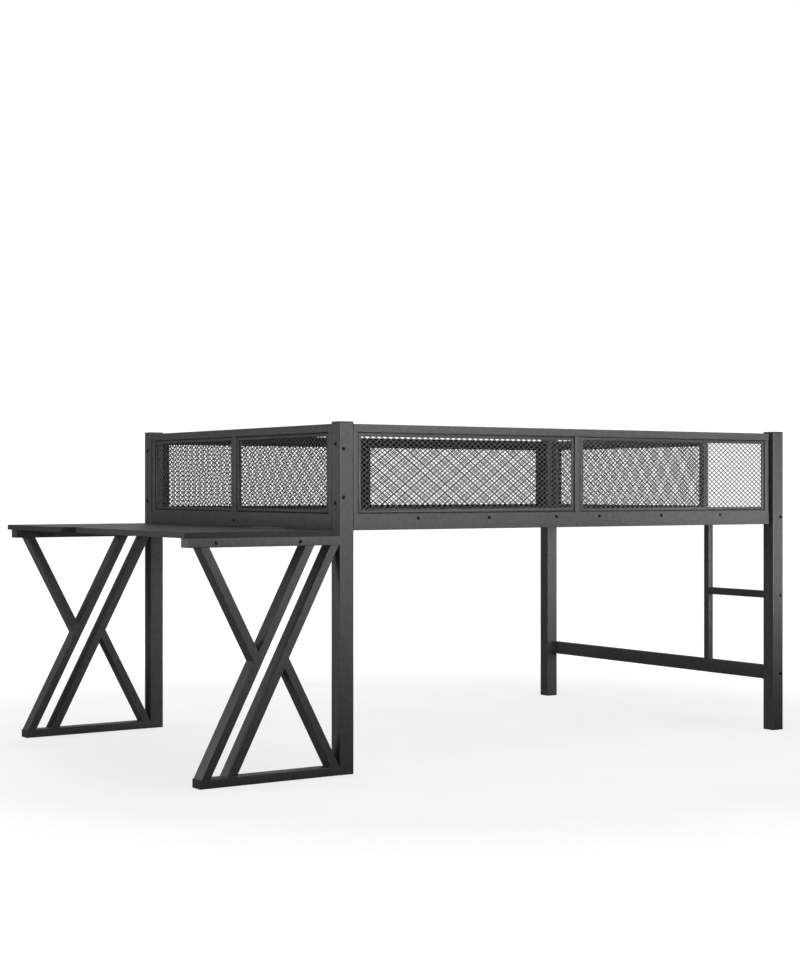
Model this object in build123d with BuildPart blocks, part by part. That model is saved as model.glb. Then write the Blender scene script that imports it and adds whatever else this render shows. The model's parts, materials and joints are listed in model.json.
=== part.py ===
"""Low loft bed with a desk at its left end, as separately named steel and board pieces.

Frame: origin at the bottom centre of the whole object, X along the bed (desk at -X),
Y across it (near side at -Y), Z up. All lengths are in millimetres.
"""

import math
import os

from build123d import *

os.makedirs("parts", exist_ok=True)

# ---------------------------------------------------------------- overall sizes
BED_LENGTH = 2000.0
BED_WIDTH = 1432.0
DESK_DEPTH = 558.0
POST_HEIGHT = 1140.0
POST = 53.0
WALL = 1.2

# Bed outline in the shared frame: the desk pushes the bed towards +X.
X_MAX = (BED_LENGTH + DESK_DEPTH) / 2
X_MIN = -X_MAX
BED_X0 = X_MIN + DESK_DEPTH
BED_MID = (BED_X0 + X_MAX) / 2
Y_MAX = BED_WIDTH / 2

# ---------------------------------------------------------------- posts
FOOT_FLANGE = 3.0
FOOT_INSERT = 8.0
CAP_THICK = 6.0
CAP_INSERT = 14.0
CORNER_R = 3.0
CAP_CHAMFER = 2.0
INSERT_PLAY = 0.2

# ---------------------------------------------------------------- guard panels
PANEL_T = 24.0
LONG_RECESS = (POST - PANEL_T) / 2
END_RECESS = 2.5
LONG_GAP = 9.0
END_GAP = 3.0
SPACER_SET_BACK = 8.0
PANEL_TOP = 1133.0
TOP_RAIL = 27.0
LOWER_RAIL_Z = 787.0
LOWER_RAIL = 54.0
LONG_STILE = 19.0
END_STILE = 25.0
MID_STILE = 28.5
INSET_GAP = 2.0
INSET_WIDTH = 11.5
INSET_RECESS = 3.0
INSET_T = 5.0
INSET_FLANGE = 2.0
INSET_CHAMFER = 1.2
MESH_MARGIN = 4.0
MESH_T = 1.2

# ---------------------------------------------------------------- entrance end
LADDER_Y = Y_MAX - 380.5
LADDER_W = 28.0
RUNG_Z = 501.0
RUNG_H = 27.0
LOW_RAIL_Z = 189.0
LOW_RAIL_H = 53.0
BRACKET_T = 2.5
BRACKET_LEG = 32.0

# ---------------------------------------------------------------- mattress deck
DECK_TOP = 840.0
DECK_RAIL_H = 30.0
DECK_RAIL_T = 22.0
SLAT_H = 15.0
SLAT_W = 40.0
SLATS_PER_GRID = 9
GRID_SPLIT = 10.0
BEAM_W = 40.0
BEAM_H = 30.0
GRID_PLAY = 2.0
DECK_BOLT_X = (97.6, 391.0, 684.5)
DECK_BOLT_Z = 825.0
BEAM_BOLT_Z = 810.0

# ---------------------------------------------------------------- desk
BOARD_T = 18.0
BOARD_Z = 771.0
FRAME_D = POST
TOP_TUBE_Z = 741.0
BASE_TUBE_H = 28.0
TOP_TUBE_LEN = 542.0
BASE_TUBE_LEN = 503.0
STRUT_RUN = 31.0
LEAN = 0.5225
LONG_STRUT_START = 4.0
SHORT_STRUT_START = 1.0
NOTCH_R = 63.5
NOTCH_Y = 154.5
OUTLET_Y = -307.0
OUTLET_L = 165.0
OUTLET_W = 50.0
OUTLET_FLANGE = 2.5
OUTLET_BODY = 38.0
OUTLET_BACK = 12.0
OUTLET_CORNER_R = 6.0
OUTLET_EDGE_R = 0.8
OUTLET_STEP = 4.5
SOCKET_PITCH = 48.0
SOCKET_HOLE_R = 15.0
SOCKET_FACE_R = 14.6
SOCKET_FACE_T = 2.0
SOCKET_SUNK = 3.0
CONTACT_DEEP = 1.2
CONTACT_OFFSET = 6.0
BLADE_SLOT = (8.0, 2.0)
BLADE_BACK = -2.0
EARTH_BACK = 7.0
EARTH_R = 2.2
CHARGE_SLOT = (13.0, 5.5)
OPENING_PLAY = 0.5
BOARD_EDGE_R = 1.5
PLUG_T = 2.0
BRACKET_W = 30.0
BRACKET_LONG = 26.0
ANGLE_T = 2.5

# ---------------------------------------------------------------- fixings
HEAD_D = 12.0
HEAD_H = 3.5
SHANK_D = 6.0
HOLE_D = 6.4
SOCKET_D = 5.0
SOCKET_DEEP = 2.0
LONG_BOLT_Z = (1067.4, 876.6)
END_BOLT_Z = (1051.5, 894.6)
STEP_BOLT_Z = (814.0, 514.5, 215.5)
DESK_BOLT_X = (448.0, 147.0)
DESK_BOLT_Z = 754.5
BASE_BOLT_Z = 16.0
SCREW_LENGTH = 12.0
SCREW_SET_IN = 12.0
HEAD_TAPER = 22.0
BOLT_BEYOND = 6.0

written = []


def save(builder, name):
    """Label one finished piece and write its STEP file."""
    builder.part.label = name
    export_step(builder.part, f"parts/{name}.step")
    written.append(name)


def block(x0, x1, y0, y1, z0, z1):
    """Add a plain box between two corners to the active part."""
    centre = ((x0 + x1) / 2, (y0 + y1) / 2, (z0 + z1) / 2)
    with Locations(centre):
        Box(x1 - x0, y1 - y0, z1 - z0)


def carve(limits):
    """Cut a plain box, given by its six limits, out of the active part."""
    x0, x1, y0, y1, z0, z1 = limits
    centre = ((x0 + x1) / 2, (y0 + y1) / 2, (z0 + z1) / 2)
    with Locations(centre):
        Box(x1 - x0, y1 - y0, z1 - z0, mode=Mode.SUBTRACT)


def tube(axis, x0, x1, y0, y1, z0, z1, wall=WALL):
    """Add a rectangular tube, open at both ends, that runs along one axis."""
    block(x0, x1, y0, y1, z0, z1)
    size = {"X": x1 - x0, "Y": y1 - y0, "Z": z1 - z0}
    for name in size:
        if name != axis:
            size[name] -= 2 * wall
    centre = ((x0 + x1) / 2, (y0 + y1) / 2, (z0 + z1) / 2)
    with Locations(centre):
        Box(size["X"], size["Y"], size["Z"], mode=Mode.SUBTRACT)


def box_at(x0, x1, y0, y1, z0, z1):
    """Return a plain box as a part of its own."""
    with BuildPart() as piece:
        block(x0, x1, y0, y1, z0, z1)
    return piece.part


def tube_at(axis, x0, x1, y0, y1, z0, z1, wall=WALL):
    """Return a rectangular tube as a part of its own."""
    with BuildPart() as piece:
        tube(axis, x0, x1, y0, y1, z0, z1, wall)
    return piece.part


def bolt_at(point, direction, length):
    """Return a button-head bolt; the head's underside is at the point."""
    plane = Plane(origin=point, z_dir=direction)
    with BuildPart() as piece:
        with BuildSketch(plane):
            Circle(HEAD_D / 2)
        extrude(amount=HEAD_H, taper=HEAD_TAPER)
        with BuildSketch(plane.offset(HEAD_H - SOCKET_DEEP)):
            RegularPolygon(SOCKET_D / 2, 6)
        extrude(amount=SOCKET_DEEP, mode=Mode.SUBTRACT)
        with BuildSketch(plane):
            Circle(SHANK_D / 2)
        extrude(amount=-length)
    return piece.part


def clears(box, point, direction, length):
    """Tell whether a bolt hole misses a bounding box altogether."""
    low = (box.min.X, box.min.Y, box.min.Z)
    high = (box.max.X, box.max.Y, box.max.Z)
    for axis in range(3):
        end = point[axis] - direction[axis] * length
        near = min(point[axis], end) - HOLE_D / 2
        far = max(point[axis], end) + HOLE_D / 2
        if near > high[axis] or far < low[axis]:
            return True
    return False


def drilled(part, bolts):
    """Return the part with a clearance hole for every bolt that passes through it."""
    box = part.bounding_box()
    with BuildPart() as piece:
        add(part)
        for point, direction, length in bolts:
            if clears(box, point, direction, length):
                continue
            with BuildSketch(Plane(origin=point, z_dir=direction)):
                Circle(HOLE_D / 2)
            extrude(amount=-length - 1.0, mode=Mode.SUBTRACT)
    return piece.part


def save_group(name, parts, bolts=()):
    """Write several separate solids as one named piece, drilled for its bolts."""
    with BuildPart() as group:
        for part in parts:
            add(drilled(part, bolts))
    save(group, name)


# ================================================================ posts
POST_X = {"left": BED_X0, "right": X_MAX - POST}
POST_Y = {"near": -Y_MAX, "far": Y_MAX - POST}
TUBE_TOP = POST_HEIGHT - CAP_THICK

LONG_FACE = {"near": -Y_MAX + LONG_RECESS, "far": Y_MAX - LONG_RECESS - PANEL_T}
END_PANEL_X = {"left": BED_X0 + END_RECESS, "right": X_MAX - END_RECESS - PANEL_T}
# The near right post carries only the lower rail, the rung and the low rail.
END_HEIGHTS = {
    ("near", "left"): END_BOLT_Z,
    ("far", "left"): END_BOLT_Z,
    ("near", "right"): STEP_BOLT_Z,
    ("far", "right"): END_BOLT_Z + (STEP_BOLT_Z[0], STEP_BOLT_Z[2]),
}


def post_bolt_rows(side_y, side_x):
    """Return the bolt axes of one post as (point on its outer face, direction)."""
    out_x = -1 if side_x == "left" else 1
    face_x = BED_X0 if side_x == "left" else X_MAX
    out_y = -1 if side_y == "near" else 1
    middle_y = LONG_FACE[side_y] + PANEL_T / 2
    middle_x = END_PANEL_X[side_x] + PANEL_T / 2
    rows = [((face_x, middle_y, z), (out_x, 0, 0)) for z in LONG_BOLT_Z]
    for z in END_HEIGHTS[side_y, side_x]:
        rows.append(((middle_x, out_y * Y_MAX, z), (0, out_y, 0)))
    return rows


BOLT_LENGTH = POST + LONG_GAP + BOLT_BEYOND
post_bolts = []
for side_y in POST_Y:
    for side_x in POST_X:
        for point, direction in post_bolt_rows(side_y, side_x):
            post_bolts.append((point, direction, BOLT_LENGTH))

deck_bolts = []
for side_y, sign in (("near", -1), ("far", 1)):
    face_y = sign * (Y_MAX - LONG_RECESS)
    for offset in DECK_BOLT_X:
        for way in (-1, 1):
            point = (BED_MID + way * offset, face_y, DECK_BOLT_Z)
            deck_bolts.append((point, (0, sign, 0), PANEL_T + BOLT_BEYOND))
for face_x, way in ((BED_X0 + END_RECESS, -1), (X_MAX - END_RECESS, 1)):
    point = (face_x, 0, BEAM_BOLT_Z)
    deck_bolts.append((point, (way, 0, 0), PANEL_T + BOLT_BEYOND))

desk_bolts = []
board_screws = []
for side_y, sign in (("near", -1), ("far", 1)):
    inner_y = sign * (Y_MAX - FRAME_D)
    for back in DESK_BOLT_X:
        x = BED_X0 - back
        point = (x, sign * Y_MAX, DESK_BOLT_Z)
        desk_bolts.append((point, (0, sign, 0), FRAME_D + BOLT_BEYOND))
        screw_y = inner_y - sign * (ANGLE_T + SCREW_SET_IN)
        screw = ((x, screw_y, BOARD_Z - ANGLE_T), (0, 0, -1), SCREW_LENGTH)
        board_screws.append(screw)
    for z in ((TOP_TUBE_Z + BOARD_Z) / 2, BASE_BOLT_Z):
        point = (BED_X0 + POST, POST_Y[side_y] + POST / 2, z)
        desk_bolts.append((point, (1, 0, 0), POST + BOLT_BEYOND))
all_bolts = post_bolts + deck_bolts + desk_bolts + board_screws

for side_y in POST_Y:
    for side_x in POST_X:
        x0 = POST_X[side_x]
        y0 = POST_Y[side_y]
        with BuildPart() as post:
            block(x0, x0 + POST, y0, y0 + POST, FOOT_FLANGE, TUBE_TOP)
            fillet(post.edges().filter_by(Axis.Z), CORNER_R)
            inner = POST - 2 * WALL
            height = TUBE_TOP - FOOT_FLANGE
            with Locations((x0 + POST / 2, y0 + POST / 2, FOOT_FLANGE + height / 2)):
                Box(inner, inner, height, mode=Mode.SUBTRACT)
        save_group(f"post_{side_y}_{side_x}", [post.part], all_bolts)

        with BuildPart() as foot:
            block(x0, x0 + POST, y0, y0 + POST, 0, FOOT_FLANGE)
            fillet(foot.edges().filter_by(Axis.Z), CORNER_R)
            inset = WALL + INSERT_PLAY
            block(
                x0 + inset,
                x0 + POST - inset,
                y0 + inset,
                y0 + POST - inset,
                FOOT_FLANGE,
                FOOT_FLANGE + FOOT_INSERT,
            )
        save(foot, f"foot_{side_y}_{side_x}")

caps = []
for side_y in POST_Y:
    for side_x in POST_X:
        x0 = POST_X[side_x]
        y0 = POST_Y[side_y]
        with BuildPart() as cap:
            block(x0, x0 + POST, y0, y0 + POST, TUBE_TOP, POST_HEIGHT)
            fillet(cap.edges().filter_by(Axis.Z), CORNER_R)
            chamfer(cap.faces().sort_by(Axis.Z)[-1].edges(), CAP_CHAMFER)
            inset = WALL + INSERT_PLAY
            block(
                x0 + inset,
                x0 + POST - inset,
                y0 + inset,
                y0 + POST - inset,
                TUBE_TOP - CAP_INSERT,
                TUBE_TOP,
            )
        caps.append(cap.part)
save_group("post_caps", caps)


# ================================================================ guard panels
WINDOW_Z0 = LOWER_RAIL_Z + LOWER_RAIL
WINDOW_Z1 = PANEL_TOP - TOP_RAIL


def oriented(along, u0, u1, t0, t1, z0, z1):
    """Map a span along a panel and a span across it to box limits."""
    if along == "X":
        return (u0, u1, t0, t1, z0, z1)
    return (t0, t1, u0, u1, z0, z1)


def slab(along, u0, u1, front, inward, depths, margin):
    """Return box limits inside one window, between two depths behind its front."""
    t0 = front + inward * depths[0]
    t1 = front + inward * depths[1]
    return oriented(
        along,
        u0 + margin,
        u1 - margin,
        min(t0, t1),
        max(t0, t1),
        WINDOW_Z0 + margin,
        WINDOW_Z1 - margin,
    )


def inset_frame(along, u0, u1, front, inward):
    """Return one flat-bar frame that holds a mesh sheet in a window.

    Its face stands back from the panel's face and clear of the tubes, and the thin
    flange behind it meets them.
    """
    window = (along, u0, u1, front, inward)
    back = INSET_RECESS + INSET_T
    with BuildPart() as frame:
        block(*slab(*window, (INSET_RECESS, back), INSET_GAP))
        block(*slab(*window, (back - INSET_FLANGE, back), 0))
        carve(slab(*window, (0, back + 1), INSET_GAP + INSET_WIDTH))
        faces = frame.faces().sort_by(Axis.Y if along == "X" else Axis.X)
        face = faces[0] if inward > 0 else faces[-1]
        chamfer(face.edges(), INSET_CHAMFER)
    return frame.part


def mesh_sheet(along, u0, u1, front, inward):
    """Return the closed flat sheet that stands for one window's diamond mesh."""
    start = INSET_RECESS + INSET_T
    depths = (start, start + MESH_T)
    return box_at(*slab(along, u0, u1, front, inward, depths, MESH_MARGIN))


def guard_panel(name, along, span, faces, stiles, lower_span):
    """Write one welded guard panel: two rails, stiles, inset frames and mesh.

    The faces are the panel's outer face and its inner one, and each stile is given
    by where it starts and ends along the panel.
    """
    front, rear = faces
    inward = 1 if rear > front else -1
    t0, t1 = min(faces), max(faces)
    top = tube_at(along, *oriented(along, *span, t0, t1, WINDOW_Z1, PANEL_TOP))
    save_group(f"{name}_top_rail", [top], all_bolts)
    low = oriented(along, *lower_span, t0, t1, LOWER_RAIL_Z, WINDOW_Z0)
    save_group(f"{name}_lower_rail", [tube_at(along, *low)], all_bolts)
    tubes = []
    for stile in stiles:
        limits = oriented(along, *stile, t0, t1, WINDOW_Z0, WINDOW_Z1)
        tubes.append(tube_at("Z", *limits))
    save_group(f"{name}_stiles", tubes, all_bolts)
    frames = []
    sheets = []
    for left, right in zip(stiles, stiles[1:]):
        window = (along, left[1], right[0], front, inward)
        frames.append(inset_frame(*window))
        sheets.append(mesh_sheet(*window))
    save_group(f"{name}_inset_frames", frames)
    save_group(f"{name}_mesh", sheets)


def three_stiles(span, width):
    """Return the spans of two end stiles of one width and the middle stile."""
    middle = sum(span) / 2
    return (
        (span[0], span[0] + width),
        (middle - MID_STILE / 2, middle + MID_STILE / 2),
        (span[1] - width, span[1]),
    )


LONG_SPAN = (BED_X0 + POST + LONG_GAP, X_MAX - POST - LONG_GAP)
LONG_STILES = three_stiles(LONG_SPAN, LONG_STILE)
for side_y, inward in (("near", 1), ("far", -1)):
    outer = -inward * (Y_MAX - LONG_RECESS)
    faces = (outer, outer + inward * PANEL_T)
    guard_panel(f"{side_y}_guard", "X", LONG_SPAN, faces, LONG_STILES, LONG_SPAN)

POST_FACE_Y = Y_MAX - POST
END_SPAN = (-POST_FACE_Y + END_GAP, POST_FACE_Y - END_GAP)
END_STILES = three_stiles(END_SPAN, END_STILE)
LEFT_FACES = (END_PANEL_X["left"], END_PANEL_X["left"] + PANEL_T)
guard_panel("desk_end_guard", "Y", END_SPAN, LEFT_FACES, END_STILES, END_SPAN)

# ================================================================ entrance end
ENTRY_X0 = END_PANEL_X["right"]
ENTRY_X1 = ENTRY_X0 + PANEL_T
LADDER_Y0 = -LADDER_Y
LADDER_Y1 = LADDER_Y0 + LADDER_W
ENTRY_SPAN = (LADDER_Y1, END_SPAN[1])
ENTRY_STILES = ((LADDER_Y1, LADDER_Y1 + MID_STILE), END_STILES[2])
ENTRY_FACES = (ENTRY_X1, ENTRY_X0)
guard_panel("entry_guard", "Y", ENTRY_SPAN, ENTRY_FACES, ENTRY_STILES, END_SPAN)

LOW_RAIL_TOP = LOW_RAIL_Z + LOW_RAIL_H
ladder = tube_at(
    "Z", ENTRY_X0, ENTRY_X1, LADDER_Y0, LADDER_Y1, LOW_RAIL_TOP, LOWER_RAIL_Z
)
save_group("ladder_post", [ladder])

rung = tube_at(
    "Y", ENTRY_X0, ENTRY_X1, -POST_FACE_Y, LADDER_Y0, RUNG_Z, RUNG_Z + RUNG_H
)
save_group("ladder_rung", [rung], all_bolts)

low_rail = tube_at(
    "Y", ENTRY_X0, ENTRY_X1, -POST_FACE_Y, POST_FACE_Y, LOW_RAIL_Z, LOW_RAIL_TOP
)
save_group("low_end_rail", [low_rail], all_bolts)

angles = []
for sign in (-1, 1):
    post_face = sign * POST_FACE_Y
    leg_end = post_face - sign * BRACKET_LEG
    plate_end = post_face - sign * BRACKET_T
    leg_x = ENTRY_X0 - BRACKET_T
    leg = (min(post_face, leg_end), max(post_face, leg_end))
    plate = (min(post_face, plate_end), max(post_face, plate_end))
    with BuildPart() as angle:
        block(leg_x, ENTRY_X0, *leg, LOW_RAIL_Z, LOW_RAIL_TOP)
        block(X_MAX - POST + CORNER_R, leg_x, *plate, LOW_RAIL_Z, LOW_RAIL_TOP)
    angles.append(angle.part)
save_group("low_rail_brackets", angles, all_bolts)

# ================================================================ joint spacers
spacers = []
for side_y in POST_Y:
    y0 = LONG_FACE[side_y] + SPACER_SET_BACK
    y1 = LONG_FACE[side_y] + PANEL_T - SPACER_SET_BACK
    for x0 in (BED_X0 + POST, LONG_SPAN[1]):
        spacers.append(box_at(x0, x0 + LONG_GAP, y0, y1, LOWER_RAIL_Z, PANEL_TOP))
for side_x in POST_X:
    x0 = END_PANEL_X[side_x] + SPACER_SET_BACK
    x1 = END_PANEL_X[side_x] + PANEL_T - SPACER_SET_BACK
    for side_y, y0 in (("near", -POST_FACE_Y), ("far", END_SPAN[1])):
        open_end = (side_y, side_x) == ("near", "right")
        top = WINDOW_Z0 if open_end else PANEL_TOP
        spacers.append(box_at(x0, x1, y0, y0 + END_GAP, LOWER_RAIL_Z, top))
save_group("joint_spacers", spacers, post_bolts)

# ================================================================ mattress deck
DECK_Y = Y_MAX - LONG_RECESS - PANEL_T
GRIDS = {
    "left": (BED_X0 + POST + GRID_PLAY, BED_MID - GRID_SPLIT / 2),
    "right": (BED_MID + GRID_SPLIT / 2, X_MAX - POST - GRID_PLAY),
}
DECK_RAIL_Z = DECK_TOP - DECK_RAIL_H
SLAT_Y = DECK_Y - DECK_RAIL_T
SLAT_Z = DECK_TOP - SLAT_H

for side_y, sign in (("near", -1), ("far", 1)):
    ends = sorted((sign * DECK_Y, sign * SLAT_Y))
    rails = [tube_at("X", *GRIDS[grid], *ends, DECK_RAIL_Z, DECK_TOP) for grid in GRIDS]
    save_group(f"deck_rails_{side_y}", rails, all_bolts)

for grid in GRIDS:
    x0, x1 = GRIDS[grid]
    pitch = (x1 - x0 - SLAT_W) / (SLATS_PER_GRID - 1)
    slats = []
    for index in range(SLATS_PER_GRID):
        start = x0 + index * pitch
        slats.append(
            tube_at("Y", start, start + SLAT_W, -SLAT_Y, SLAT_Y, SLAT_Z, DECK_TOP)
        )
    save_group(f"deck_slats_{grid}", slats)

BEAM_X0 = END_PANEL_X["left"] + PANEL_T
half_beam = BEAM_W / 2
beam = tube_at("X", BEAM_X0, ENTRY_X0, -half_beam, half_beam, SLAT_Z - BEAM_H, SLAT_Z)
save_group("deck_beam", [beam], all_bolts)

# ================================================================ desk
BOARD_TOP = BOARD_Z + BOARD_T
OUTLET_X = BED_X0 - OUTLET_BACK - OUTLET_W / 2
OPENING_W = OUTLET_W - 2 * OUTLET_STEP + 2 * OPENING_PLAY
OPENING_L = OUTLET_L - 2 * OUTLET_STEP + 2 * OPENING_PLAY
with BuildPart() as desktop:
    block(X_MIN, BED_X0, -Y_MAX, Y_MAX, BOARD_Z, BOARD_TOP)
    fillet(desktop.faces().sort_by(Axis.Z)[-1].edges(), BOARD_EDGE_R)
    with Locations((X_MIN, NOTCH_Y, BOARD_Z + BOARD_T / 2)):
        Cylinder(NOTCH_R, BOARD_T + 2, mode=Mode.SUBTRACT)
    with Locations((OUTLET_X, OUTLET_Y, BOARD_Z + BOARD_T / 2)):
        Box(OPENING_W, OPENING_L, BOARD_T + 2, mode=Mode.SUBTRACT)
save_group("desktop", [desktop.part], board_screws)

with BuildPart() as outlet:
    with Locations((OUTLET_X, OUTLET_Y, BOARD_TOP + OUTLET_FLANGE / 2)):
        Box(OUTLET_W, OUTLET_L, OUTLET_FLANGE)
    fillet(outlet.edges().filter_by(Axis.Z), OUTLET_CORNER_R)
    fillet(outlet.faces().sort_by(Axis.Z)[-1].edges(), OUTLET_EDGE_R)
    body_w = OUTLET_W - 2 * OUTLET_STEP
    body_l = OUTLET_L - 2 * OUTLET_STEP
    with Locations((OUTLET_X, OUTLET_Y, BOARD_TOP - OUTLET_BODY / 2)):
        Box(body_w, body_l, OUTLET_BODY)
    for row in (-1, 0, 1):
        place = (OUTLET_X, OUTLET_Y + row * SOCKET_PITCH, BOARD_TOP + OUTLET_FLANGE)
        with Locations(place):
            Cylinder(SOCKET_HOLE_R, 2 * SOCKET_SUNK, mode=Mode.SUBTRACT)
save(outlet, "outlet_module")

SOCKET_FLOOR = BOARD_TOP + OUTLET_FLANGE - SOCKET_SUNK
CONTACT_Z = SOCKET_FLOOR + SOCKET_FACE_T - CONTACT_DEEP / 2


def socket_face(row):
    """Add one round face to the active part, in its recess in the outlet module."""
    place = (OUTLET_X, OUTLET_Y + row * SOCKET_PITCH, SOCKET_FLOOR + SOCKET_FACE_T / 2)
    with Locations(place):
        Cylinder(SOCKET_FACE_R, SOCKET_FACE_T)


def slots(row, back, size):
    """Cut a pair of shallow contact slots into the active face."""
    for across in (-CONTACT_OFFSET, CONTACT_OFFSET):
        place = (OUTLET_X + back, OUTLET_Y + row * SOCKET_PITCH + across, CONTACT_Z)
        with Locations(place):
            Box(*size, CONTACT_DEEP, mode=Mode.SUBTRACT)


faces = []
for row in (-1, 0):
    with BuildPart() as face:
        socket_face(row)
        slots(row, BLADE_BACK, BLADE_SLOT)
        place = (OUTLET_X + EARTH_BACK, OUTLET_Y + row * SOCKET_PITCH, CONTACT_Z)
        with Locations(place):
            Cylinder(EARTH_R, CONTACT_DEEP, mode=Mode.SUBTRACT)
    faces.append(face.part)
with BuildPart() as charging_face:
    socket_face(1)
    slots(1, 0.0, CHARGE_SLOT)
faces.append(charging_face.part)
save_group("outlet_faces", faces)


BASE_Z = BASE_TUBE_H
RISE = TOP_TUBE_Z - BASE_Z
POST_FACE = BED_X0
B_FOOT = POST_FACE - BASE_TUBE_LEN + LONG_STRUT_START
B_HEAD = B_FOOT + LEAN * RISE
C_HEAD = POST_FACE - LONG_STRUT_START - STRUT_RUN
C_FOOT = C_HEAD - LEAN * RISE
A_HEAD = POST_FACE - BASE_TUBE_LEN + SHORT_STRUT_START
D_FOOT = POST_FACE - SHORT_STRUT_START - STRUT_RUN


def short_strut(y0, upper):
    """Return the hollow short strut that ends on a long strut's leaning face."""
    if upper:
        left_top, right_top = (A_HEAD, TOP_TUBE_Z), (A_HEAD + STRUT_RUN, TOP_TUBE_Z)
        long_x = B_FOOT
        sign = 1
    else:
        left_top, right_top = (D_FOOT, BASE_Z), (D_FOOT + STRUT_RUN, BASE_Z)
        long_x = C_FOOT + STRUT_RUN
        sign = -1

    def meet(point):
        """Return where a short strut's edge line meets the long strut's edge line."""
        z = (point[0] + LEAN * point[1] - long_x + LEAN * BASE_Z) / (2 * LEAN)
        return (long_x + LEAN * (z - BASE_Z), z)

    def ring(left, right):
        """Return four corners in order, with the far ends on the long strut."""
        return [left, right, meet(right), meet(left)]

    wall_run = WALL * math.sqrt(1 + LEAN * LEAN)
    inner_left = (left_top[0] + wall_run, left_top[1] + sign * 1.0)
    inner_right = (right_top[0] - wall_run, right_top[1] + sign * 1.0)
    shift = LEAN * 1.0 * sign
    inner_left = (inner_left[0] - shift, inner_left[1])
    inner_right = (inner_right[0] - shift, inner_right[1])
    with BuildPart() as piece:
        with BuildSketch(Plane.XZ.offset(-y0)):
            with BuildLine():
                Polyline(*ring(left_top, right_top), close=True)
            make_face()
        extrude(amount=-FRAME_D)
        with BuildSketch(Plane.XZ.offset(-(y0 + WALL))):
            with BuildLine():
                Polyline(*ring(inner_left, inner_right), close=True)
            make_face()
        extrude(amount=-(FRAME_D - 2 * WALL), mode=Mode.SUBTRACT)
    return piece.part


def long_strut(y0, foot_x, head_x):
    """Return one hollow long strut between the base tube and the top tube."""
    wall_run = WALL * math.sqrt(1 + LEAN * LEAN)
    outer = [
        (foot_x, BASE_Z),
        (foot_x + STRUT_RUN, BASE_Z),
        (head_x + STRUT_RUN, TOP_TUBE_Z),
        (head_x, TOP_TUBE_Z),
    ]
    inner = [
        (foot_x + wall_run, BASE_Z),
        (foot_x + STRUT_RUN - wall_run, BASE_Z),
        (head_x + STRUT_RUN - wall_run, TOP_TUBE_Z),
        (head_x + wall_run, TOP_TUBE_Z),
    ]
    with BuildPart() as piece:
        with BuildSketch(Plane.XZ.offset(-y0)):
            with BuildLine():
                Polyline(*outer, close=True)
            make_face()
        extrude(amount=-FRAME_D)
        with BuildSketch(Plane.XZ.offset(-(y0 + WALL))):
            with BuildLine():
                Polyline(*inner, close=True)
            make_face()
        extrude(amount=-(FRAME_D - 2 * WALL), mode=Mode.SUBTRACT)
    return piece.part


plugs = []
for side_y in POST_Y:
    y0 = POST_Y[side_y]
    y1 = y0 + FRAME_D
    top_x0 = POST_FACE - TOP_TUBE_LEN
    base_x0 = POST_FACE - BASE_TUBE_LEN
    top_tube = tube_at("X", top_x0 + PLUG_T, POST_FACE, y0, y1, TOP_TUBE_Z, BOARD_Z)
    save_group(f"desk_top_tube_{side_y}", [top_tube], all_bolts)
    base_tube = tube_at("X", base_x0 + PLUG_T, POST_FACE, y0, y1, 0, BASE_TUBE_H)
    save_group(f"desk_base_tube_{side_y}", [base_tube], all_bolts)
    plugs.append(box_at(top_x0, top_x0 + PLUG_T, y0, y1, TOP_TUBE_Z, BOARD_Z))
    plugs.append(box_at(base_x0, base_x0 + PLUG_T, y0, y1, 0, BASE_TUBE_H))
    pair = [long_strut(y0, B_FOOT, B_HEAD), long_strut(y0, C_FOOT, C_HEAD)]
    save_group(f"desk_long_struts_{side_y}", pair)
    save_group(f"desk_upper_strut_{side_y}", [short_strut(y0, True)])
    save_group(f"desk_lower_strut_{side_y}", [short_strut(y0, False)])
save_group("desk_tube_plugs", plugs)

brackets = []
for side_y, sign in (("near", -1), ("far", 1)):
    inner_y = sign * (Y_MAX - FRAME_D)
    thin_y = inner_y - sign * ANGLE_T
    leg_y = inner_y - sign * BRACKET_LONG
    for back in DESK_BOLT_X:
        x0 = BED_X0 - back - BRACKET_W / 2
        x1 = x0 + BRACKET_W
        with BuildPart() as bracket:
            block(
                x0,
                x1,
                min(inner_y, thin_y),
                max(inner_y, thin_y),
                BOARD_Z - BRACKET_LONG,
                BOARD_Z,
            )
            block(
                x0, x1, min(thin_y, leg_y), max(thin_y, leg_y), BOARD_Z - ANGLE_T, BOARD_Z
            )
        brackets.append(bracket.part)
save_group("desk_brackets", brackets, all_bolts)

# ================================================================ fixings
save_group("post_bolts", [bolt_at(*row) for row in post_bolts])
save_group("deck_bolts", [bolt_at(*row) for row in deck_bolts])
save_group("desk_bolts", [bolt_at(*row) for row in desk_bolts])
save_group("board_screws", [bolt_at(*row) for row in board_screws])

print("pieces", len(written))
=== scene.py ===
"""Loft bed with a desk: its visible pieces, finishes, studio and camera.

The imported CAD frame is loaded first. Every piece made here lies in the same frame:
X along the bed with the desk at -X, Y across it with the near side at -Y, Z up, metres.
"""

import json
import logging
import math
from dataclasses import dataclass, field
from enum import Enum

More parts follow.
